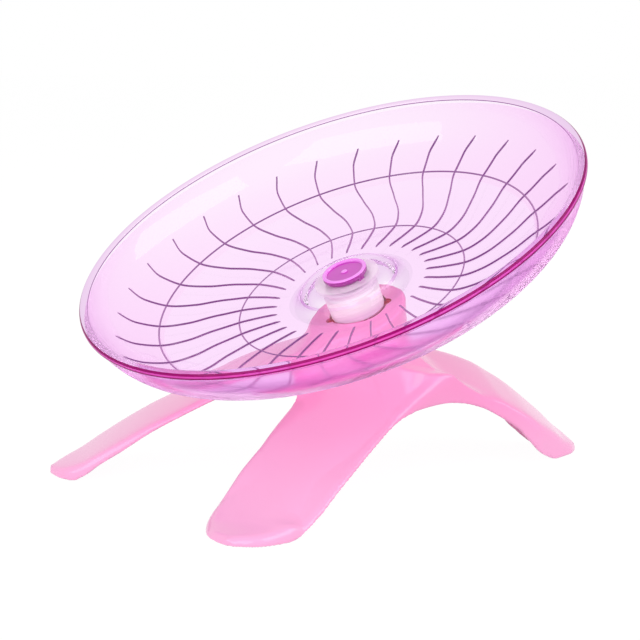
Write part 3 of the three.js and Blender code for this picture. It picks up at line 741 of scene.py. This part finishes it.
def outer_rows(inner):
    """The outer face, a wall below the inner one, from the bead back to the dome's foot."""
    plain = [(r, float(bowl_height(r))) for r, _ in inner if r < BOWL_RADIUS * STEEP_SHARE]
    plain += [(r, h) for r, h in inner if r >= BOWL_RADIUS * STEEP_SHARE]
    outer = []
    for i in range(1, len(plain) - 1):
        along = (Vector(plain[i + 1]) - Vector(plain[i - 1])).normalized()
        outer.append((plain[i][0] + along.y * DISH_WALL, plain[i][1] - along.x * DISH_WALL))
    return [row for row in reversed(outer) if row[1] < RIM_HEIGHT - BEAD_RADIUS * BEAD_CLEAR_SHARE]


def under_rows():
    """The underside of the dome, back to the hub's boss."""
    inside = DOME_RADIUS - DOME_WALL
    low = FLOOR_TOP - DISH_WALL
    shape = [
        (DOME_FOOT + UNDER_RUN, low), (inside + DOME_SPREAD * DOME_UNDER_SHARE, low),
        (inside, DOME_CEILING), (BOSS_RADIUS, DOME_CEILING),
    ]
    rows = rounded(shape, {1: DOME_UNDER_ROUND, 2: DOME_UNDER_ROUND}, DOME_STEPS)[:-1]
    return rows + [(FROST_EDGE, DOME_CEILING), (BOSS_RADIUS, DOME_CEILING), (BOSS_RADIUS, BOSS_FOOT)]


def dish_profile():
    """The dish's closed outline as (radius, height, kind), from the hub's hole to the rim and back."""
    rows = [(radius, height, "dish") for radius, height in hub_rows()]
    rows += bowl_rows()
    rows += [(radius, height, "dish") for radius, height in steep_rows(rows[-1][1])]
    inner = [(radius, height) for radius, height, _ in rows if radius > DOME_FOOT + UNDER_RUN]
    rows += [(radius, height, "bead") for radius, height in bead_rows()]
    return rows + [(radius, height, "dish") for radius, height in outer_rows(inner) + under_rows()]


def rib_rise(radius):
    """A rib's height at a radius, running out at its two ends."""
    if not RIB_START <= radius <= RIB_END:
        return 0.0
    return RIB_HEIGHT * min(1.0, min(radius - RIB_START, RIB_END - radius) / RIB_END_RUN) ** 0.5


def dish_points(rows, rim_row):
    """The points of every row: for each rib those across it, then those up to the next rib."""
    bend = curve_through(RIB_SHARES)
    sector = 2 * math.pi / RIB_COUNT
    points = []
    for i, (radius, height, kind) in enumerate(rows):
        turn = math.radians(float(bend(min(max(radius, RIB_START), RIB_END) / BOWL_RADIUS)))
        half = min(RIB_HALF / radius, sector * RIB_WIDEST_SHARE)
        rise = rib_rise(radius) if i < rim_row else 0.0
        for n in range(RIB_COUNT):
            middle = math.radians(RIB_FIRST) + turn + n * sector
            for side, share in RIB_ACROSS_SHARES:
                angle = middle + side * half
                lift = rise * share
                if kind == "ring":
                    lift = max(0.0, lift - (height - float(bowl_height(radius))))
                points.append((radius * math.cos(angle), radius * math.sin(angle), height + lift))
            for k in range(1, COLUMNS_BETWEEN + 1):
                angle = middle + half + (sector - 2 * half) * k / (COLUMNS_BETWEEN + 1)
                points.append((radius * math.cos(angle), radius * math.sin(angle), height))
    return points


def bead_slot(step):
    """The material slot of one strip of the rim's bead, by its middle angle."""
    for least, slot in BEAD_STRIPS:
        if bead_angle(step + 0.5) > least:
            return slot
    return BEAD_STRIPS[-1][1]


def dish_slot(i, row, above, rim_row, across_rib):
    """The material slot of a face between row i and the one above it."""
    if row[2] == "bead" and above[2] == "bead":
        return bead_slot(i - rim_row)
    # The rings and the ribs take the painted shade
    if row[2] == "ring" and above[2] == "ring":
        return RIB_SHADE
    if across_rib and i < rim_row and RIB_START <= row[0] and above[0] <= RIB_END:
        return RIB_SHADE
    if max(row[0], above[0]) < FROST_ZONE:
        return FROST
    if i >= rim_row + BEAD_STEPS and row[0] > HAZE_ZONE:
        return HAZE
    return HUB if row[0] < HUB_ZONE else CLEAR


def dish_faces(rows, rim_row):
    """The faces between the rows, which close into a ring, and their material slots."""
    rib_faces = len(RIB_ACROSS_SHARES) - 1
    per_sector = len(RIB_ACROSS_SHARES) + COLUMNS_BETWEEN
    columns = per_sector * RIB_COUNT
    faces = []
    slots = []
    for i, row in enumerate(rows):
        above = (i + 1) % len(rows)
        for j in range(columns):
            k = (j + 1) % columns
            faces.append((i * columns + j, i * columns + k, above * columns + k, above * columns + j))
            slots.append(dish_slot(i, row, rows[above], rim_row, j % per_sector < rib_faces))
    return faces, slots


def prong_slits():
    """Blocks for the two slits in the dome that the cap's prongs go through."""
    slits = []
    half = PRONG_WIDTH / 2 + GAP
    for side in (1, -1):
        near = side * (PRONG_RADIUS - GAP)
        far = side * (PRONG_RADIUS + PRONG_THICKNESS + PRONG_HOOK + GAP)
        low = (min(near, far), -half, BOSS_FOOT - OVERRUN)
        high = (max(near, far), half, DOME_TOP + OVERRUN)
        slits.append(block("slit", low, high, axis_matrix()))
    return slits


def make_dish():
    rows = dish_profile()
    rim_row = next(i for i, row in enumerate(rows) if row[2] == "bead")
    points = dish_points(rows, rim_row)
    faces, slots = dish_faces(rows, rim_row)
    piece = add_mesh("clear_dish", points, faces, axis_matrix(), DISH_MATERIALS, slots, SHARP_DISH_ANGLE)
    turn_outwards(piece.data)
    combine(piece, prong_slits())
    smooth(piece.data, SHARP_DISH_ANGLE)
    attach(piece, SAUCER_BODY)
    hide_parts("saucer")


# Cap
def cap_profile():
    """The cap's closed outline: boss, sunken disc, ring, edge, skirt and the hollow under it."""
    step = CAP_FOOT + CAP_STEP_RISE
    ceiling = CAP_DISC_TOP - CAP_ROOF
    outline = [
        (0, CAP_DISC_TOP + NUB_HEIGHT), (NUB_FLAT, CAP_DISC_TOP + NUB_HEIGHT),
        (NUB_RADIUS, CAP_DISC_TOP + NUB_EDGE), (CAP_DISC - CAP_DISC_RUN, CAP_DISC_TOP), (CAP_DISC, CAP_TOP),
        (CAP_RADIUS, CAP_TOP), (CAP_RADIUS, step), (CAP_SKIRT, step - CAP_STEP_SLOPE), (CAP_SKIRT, CAP_FOOT),
        (CAP_HOLLOW, CAP_FOOT), (CAP_HOLLOW, ceiling), (0, ceiling),
    ]
    return rounded(outline, {
        1: NUB_ROUND, 2: NUB_ROUND, 3: CAP_DISC_ROUND, 4: CAP_RING_ROUND, 5: CAP_EDGE_ROUND,
        6: CAP_STEP_ROUND,
    })


def cap_prongs():
    """Two snap prongs, each a block with a wider hook at its tip."""
    prongs = []
    hook_top = DOME_CEILING - GAP
    tip = hook_top - PRONG_HOOK_HEIGHT
    for side in (1, -1):
        for reach, high in ((0, CAP_FOOT + PRONG_ROOT), (PRONG_HOOK, hook_top)):
            near = side * PRONG_RADIUS
            far = side * (PRONG_RADIUS + PRONG_THICKNESS + reach)
            low = (min(near, far), -PRONG_WIDTH / 2, tip)
            prongs.append(block("prong", low, (max(near, far), PRONG_WIDTH / 2, high), axis_matrix()))
    return prongs


def paint_cap_highlight_and_shade(piece):
    """Paints a highlight on the tops of the cap's ring and nub and shade on its side, and gives the sunken
    disc its own colour.
    """
    piece.data.materials.clear()
    for material in (cap_ring_painted_highlight, cap_disc, cap_side_painted_shade):
        piece.data.materials.append(material)
    back = axis_matrix().inverted()
    for polygon in piece.data.polygons:
        place = back @ polygon.center
        polygon.material_index = 0
        if place.z < CAP_TOP - CAP_SINK * CAP_RING_SHARE:
            polygon.material_index = 1 if math.hypot(place.x, place.y) < CAP_DISC else 2


def make_cap():
    piece = lathe("hub_cap_dressed", cap_profile(), axis_matrix(), [cap_ring_painted_highlight], sharp=SHARP_DISH_ANGLE)
    combine(piece, cap_prongs(), "UNION")
    paint_cap_highlight_and_shade(piece)
    smooth(piece.data, SHARP_DISH_ANGLE)
    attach(piece, SAUCER_BODY)
    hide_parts("hub_cap")


# Bearing seat
def make_seat():
    step_top = SEAT_RISE - SEAT_STEP_DROP
    outline = [
        (0, GAP), (SEAT_RADIUS, GAP), (SEAT_RADIUS, step_top), (SEAT_RADIUS - SEAT_STEP, step_top + GAP),
        (SEAT_RADIUS - SEAT_STEP, SEAT_RISE), (SEAT_POCKET, SEAT_RISE), (SEAT_POCKET, SEAT_LEDGE),
        (SEAT_WELL, SEAT_LEDGE), (SEAT_WELL, SEAT_FLOOR), (0, SEAT_FLOOR),
    ]
    rounds = {1: SEAT_FOOT_ROUND, 2: SEAT_ROUND, 4: SEAT_LIP_ROUND, 5: SEAT_POCKET_ROUND}
    piece = lathe("bearing_seat_dressed", rounded(outline, rounds), axis_matrix(), [seat_plastic])
    over = SEAT_FLOOR + LONG_OVERRUN
    combine(piece, [rod(SCREW_CIRCLE, angle, SCREW_HOLE, -OVERRUN, over) for angle in SCREW_ANGLES])
    smooth(piece.data, SHARP_ANGLE)
    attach(piece, STAND_BODY)
    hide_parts("bearing_seat")


# Stand, as the zero surface of a smooth field
def blend_low(a, b, reach):
    """The lower of two fields, with a fillet of the given reach where they meet."""
    share = np.maximum(reach - np.abs(a - b), 0) / reach
    return np.minimum(a, b) - share ** 2 * reach / 4


def blend_high(a, b, reach):
    return -blend_low(-a, -b, reach)


def leg_curves(leg, share):
    """Each size of a leg along it, with how much its slope stretches a distance measured level."""
    sizes = {"width": leg["half"], "top": leg["top"], "edge": leg["edge"], "offset": leg["half"]}
    curves = {}
    for name, size in sizes.items():
        curve = curve_through([(place, value * size) for place, value in leg[name + "_shares"]])
        rise = curve(np.minimum(share + SLOPE_STEP, 1)) - curve(np.maximum(share - SLOPE_STEP, 0))
        curves[name] = (curve(share), np.sqrt(1 + (rise / (2 * SLOPE_STEP * leg["length"])) ** 2))
    return curves


def leg_heights(leg, curves, across):
    """The heights of a leg's upper face and of its lower edge, with its roll, crown and lean."""
    half = curves["width"][0]
    edge = curves["edge"][0]
    bent = np.clip(across / half, -1, 1)
    tip = math.tan(math.radians(leg["roll"]))
    lifted = np.minimum(1, edge / LEG_EDGE_FADE)
    edge_tip = tip * LEG_EDGE_ROLL_SHARE * lifted
    low = edge + np.maximum(0, -edge_tip * bent * half)
    shoulder = (1 - LEG_ROUND_SHARE) * np.abs(bent) ** LEG_SHOULDER_POWER
    drop = LEG_CROWN * (LEG_ROUND_SHARE * bent ** 2 + shoulder)
    drop = drop + leg["lean"] * lifted * np.maximum(bent, 0) ** LEAN_POWER
    return np.maximum(curves["top"][0] - tip * bent * half - drop, low + LEG_EDGE), low


def leg_fields(leg, x, y, z):
    """One leg's skin, the height of its lower edge, how far outside its plan a place is, and its hollow."""
    azimuth = math.radians(leg["azimuth"])
    length = leg["length"]
    run = x * math.cos(azimuth) + y * math.sin(azimuth)
    side = y * math.cos(azimuth) - x * math.sin(azimuth)
    curves = leg_curves(leg, np.clip(run / length, 0, 1))
    half, half_stretch = curves["width"]
    across = side - curves["offset"][0]
    upper, low = leg_heights(leg, curves, across)
    upper = upper + np.minimum(run, 0) * leg["fall"]
    above = (z - upper) / curves["top"][1]
    beside = (np.abs(across) - half) / half_stretch
    behind = -run - leg["start"] - leg["slant"] * np.maximum(across + half, 0)
    behind = behind / math.hypot(1, leg["slant"])
    skin = blend_high(above, beside, leg["round"] * 2)
    skin = blend_high(np.maximum(skin, run - length), behind, leg["soften"])
    hollow = np.maximum(np.maximum(above, beside) + WALL, run - LEG_HOLLOW_SHARE * length)
    outside = np.maximum(beside, np.maximum(run - length, -run)) * np.where(across < 0, leg["steep"], 1)
    return skin, low, outside, np.maximum(hollow, -run)


def neck_fields(x, y, z):
    """The neck's skin and its hollow."""
    tilt = math.radians(TILT)
    centre_y = SEAT_CENTRE[1] - STAND_SHIFT[1]
    centre_z = SEAT_CENTRE[2]
    spread_at = curve_through(NECK_SHARES)
    spread = np.zeros(np.broadcast(x, y, z).shape)
    for _ in range(NECK_PASSES):
        middle_x = spread * NECK_SHIFT[0]
        middle_y = (1 - spread) * centre_y + spread * NECK_SHIFT[1]
        angle = np.arctan2(y - middle_y, x - middle_x)
        high = centre_z + NECK_TOP * np.sin(angle) * math.sin(tilt)
        share = np.clip((high - z) / (high - NECK_FOOT_HEIGHT), 0, 1)
        spread = spread_at(share)
    radius = NECK_TOP + (NECK_FOOT - NECK_TOP) * spread
    squeeze = NECK_TOP * (math.cos(tilt) - 1) * (1 - spread)
    reach = np.hypot(radius * np.cos(angle), (radius + squeeze) * np.sin(angle))
    beside = np.hypot(x - middle_x, y - middle_y) - reach
    above = (z - centre_z) * math.cos(tilt) - (y - centre_y) * math.sin(tilt)
    return blend_high(beside, above, NECK_ROUND), np.maximum(beside + WALL, above + NECK_PLATE)


def neck_on_grid(axes, x, y, z):
    """The neck's fields over the whole grid, worked out only in a box round the neck."""
    near = tuple(slice(*np.searchsorted(axis, bounds)) for axis, bounds in zip(axes, NECK_BOX))
    skin = np.full([len(axis) for axis in axes], FAR)
    hollow = skin.copy()
    skin[near], hollow[near] = neck_fields(x[near[0]], y[:, near[1]], z[:, :, near[2]])
    return skin, hollow


def lower_edge(legs, x, y):
    """The height that the shell ends at: each leg's own, with a quick passage from one to the next."""
    foot = np.hypot(x - NECK_SHIFT[0], y - NECK_SHIFT[1]) - NECK_FOOT
    low = 0
    total = 0
    for edge, outside in [(fields[1], fields[2]) for fields in legs] + [(NECK_FOOT_HEIGHT, foot)]:
        weight = np.exp(-np.maximum(outside, 0) / EDGE_FADE) + LEAST_WEIGHT
        low = low + weight * edge
        total = total + weight
    return low / total


def stand_field(axes):
    """The stand's field: smoothly joined skins, cut off along one smooth lower edge, less the hollows."""
    x, y, z = np.meshgrid(*axes, indexing="ij", sparse=True)
    legs = [leg_fields(leg, x, y, z) for leg in LEGS]
    neck, hollow = neck_on_grid(axes, x, y, z)
    left, front, right = [fields[0] for fields in legs]
    skin = blend_low(front, right, BLEND_LEGS)
    skin = blend_low(skin, left, BLEND_LEFT)
    skin = blend_low(skin, neck, BLEND_NECK)
    shell = blend_high(skin, lower_edge(legs, x, y) - z, EDGE_ROUND)
    shell = np.maximum(shell, -z)
    for fields in legs:
        hollow = np.minimum(hollow, fields[3])
    shell = blend_high(shell, -hollow, BLEND_INSIDE)
    return np.clip(shell, -FIELD_REACH, FIELD_REACH)


def stand_cutters():
    """The solids of the two recesses, the screw holes and the groove round the bearing seat."""
    high = LONG_OVERRUN
    low = -NECK_PLATE - OVERRUN
    groove = [
        (SEAT_RADIUS, -GROOVE_DEPTH), (SEAT_RADIUS + GROOVE_WIDTH, -GROOVE_DEPTH),
        (SEAT_RADIUS + GROOVE_WIDTH, high), (SEAT_RADIUS, high),
    ]
    cutters = [rod(RECESS_CIRCLE, angle, RECESS_RADIUS, -RECESS_SINK, high) for angle in RECESS_ANGLES]
    cutters += [rod(SCREW_CIRCLE, angle, SCREW_HOLE, low, high) for angle in SCREW_ANGLES]
    cutters.append(lathe("groove", groove, axis_matrix(), []))
    return cutters


def paint_recess_shade(piece):
    """Paints shade into the two round recesses, in red, and into the groove round the seat."""
    back = axis_matrix().inverted()
    piece.data.materials.clear()
    for material in (stand_plastic, recess_painted_shade, groove_painted_shade):
        piece.data.materials.append(material)
    inner = SEAT_RADIUS - RECESS_EDGE
    outer = SEAT_RADIUS + GROOVE_WIDTH + RECESS_EDGE
    for polygon in piece.data.polygons:
        polygon.material_index = 0
        place = back @ polygon.center
        below = place.z < -RECESS_EDGE
        reach = math.hypot(place.x, place.y)
        if below and inner < reach < outer and place.z > -GROOVE_DEPTH * GROOVE_SLACK_SHARE:
            polygon.material_index = 2
        for angle in RECESS_ANGLES:
            x = place.x - RECESS_CIRCLE * math.cos(math.radians(angle))
            y = place.y - RECESS_CIRCLE * math.sin(math.radians(angle))
            if below and place.z > -NECK_PLATE and math.hypot(x, y) < RECESS_RADIUS + RECESS_EDGE:
                polygon.material_index = 1


def make_stand():
    axes = [np.arange(low, high, FIELD_STEP) for low, high in zip(FIELD_LOW, FIELD_HIGH)]
    grid = openvdb.FloatGrid(background=FIELD_REACH)
    grid.copyFromArray(stand_field(axes).astype(np.float32))
    points, quads = grid.convertToQuads(isovalue=0.0)
    points = points * FIELD_STEP + np.array(FIELD_LOW)
    points[:, 2] = np.maximum(points[:, 2], 0)
    piece = add_mesh("stand_dressed", points, quads[:, ::-1], stand_matrix(), [stand_plastic])
    turn_outwards(piece.data)
    combine(piece, stand_cutters(), solver="MANIFOLD")
    paint_recess_shade(piece)
    smooth(piece.data, SHARP_ANGLE)
    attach(piece, STAND_BODY)
    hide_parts("stand")


def dress_nodes():
    """Better finishes for the carried-over bearing, spindle and screws."""
    redrawn = ("saucer", "hub_cap", "bearing_seat", "stand")
    finishes = {
        "bearing_cage": cage_plastic, "bearing_shield_upper": seat_plastic,
        "spindle_spacer": seat_plastic, "spindle_washer": plain_steel, "spindle_clip": plain_steel,
        "seat_screw_left": plain_steel, "seat_screw_right": plain_steel,
    }
    for name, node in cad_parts.items():
        if name in redrawn:
            continue
        for slot in node.material_slots:
            slot.material = finishes.get(name, bearing_steel)


# Stage
def floor_material():
    """White that glows for the camera, and takes soft shadows."""
    material, nodes, links, shader = new_material("floor_white")
    shader.inputs["Base Color"].default_value = (0.9, 0.9, 0.9, 1)
    shader.inputs["Roughness"].default_value = 0.9
    shader.inputs["Specular IOR Level"].default_value = 0
    glow = nodes.new("ShaderNodeEmission")
    glow.inputs["Strength"].default_value = FLOOR_GLOW
    share = maths(nodes, links, "MULTIPLY", seen_straight(nodes, links), FLOOR_GLOW_SHARE)
    mixed_surface(nodes, links, share, shader.outputs["BSDF"], glow.outputs["Emission"])
    return material


def make_floor():
    mesh = bpy.data.meshes.new("floor")
    reach = FLOOR_REACH * MM
    corners = [(-reach, -reach, 0), (reach, -reach, 0), (reach, reach, 0), (-reach, reach, 0)]
    mesh.from_pydata(corners, [], [(0, 1, 2, 3)])
    floor = bpy.data.objects.new("floor", mesh)
    bpy.context.scene.collection.objects.link(floor)
    mesh.materials.append(floor_material())


def make_world():
    """A white studio, full white where it is seen and dimmer as a light."""
    world = bpy.data.worlds.new("studio")
    bpy.context.scene.world = world
    world.use_nodes = True
    nodes = world.node_tree.nodes
    links = world.node_tree.links
    background = nodes["Background"]
    background.inputs["Color"].default_value = (1, 1, 1, 1)
    level = nodes.new("ShaderNodeMapRange")
    level.inputs["To Min"].default_value = WORLD_LIGHT
    level.inputs["To Max"].default_value = WORLD_SEEN
    links.new(seen_straight(nodes, links), level.inputs["Value"])
    links.new(level.outputs["Result"], background.inputs["Strength"])


def add_lamp(name, spot, size, power):
    light = bpy.data.lights.new(name, "AREA")
    light.shape = "RECTANGLE"
    light.size = size[0] * MM
    light.size_y = size[1] * MM
    light.energy = power
    lamp = bpy.data.objects.new(name, light)
    lamp.location = Vector(spot) * MM
    lamp.rotation_euler = (Vector(LAMP_AIM) - Vector(spot)).to_track_quat("-Z", "Y").to_euler()
    bpy.context.scene.collection.objects.link(lamp)


def make_camera():
    data = bpy.data.cameras.new("camera")
    data.lens = CAMERA_LENS
    data.sensor_width = CAMERA_SENSOR
    data.sensor_height = CAMERA_SENSOR
    data.sensor_fit = "HORIZONTAL"
    data.clip_start = CAMERA_NEAREST * MM
    camera = bpy.data.objects.new("camera", data)
    dip = math.radians(CAMERA_DIP)
    heading = Vector((CAMERA_HEADING[0], CAMERA_HEADING[1], 0)).normalized() * math.cos(dip)
    heading.z = -math.sin(dip)
    camera.location = Vector(CAMERA_SPOT) * MM
    camera.rotation_euler = heading.to_track_quat("-Z", "Y").to_euler()
    bpy.context.scene.collection.objects.link(camera)
    bpy.context.scene.camera = camera


make_camera()
make_world()
make_floor()
for lamp in LAMPS:
    add_lamp(**lamp)
make_dish()
make_cap()
make_seat()
make_stand()
dress_nodes()

bpy.context.scene.view_settings.view_transform = "Standard"
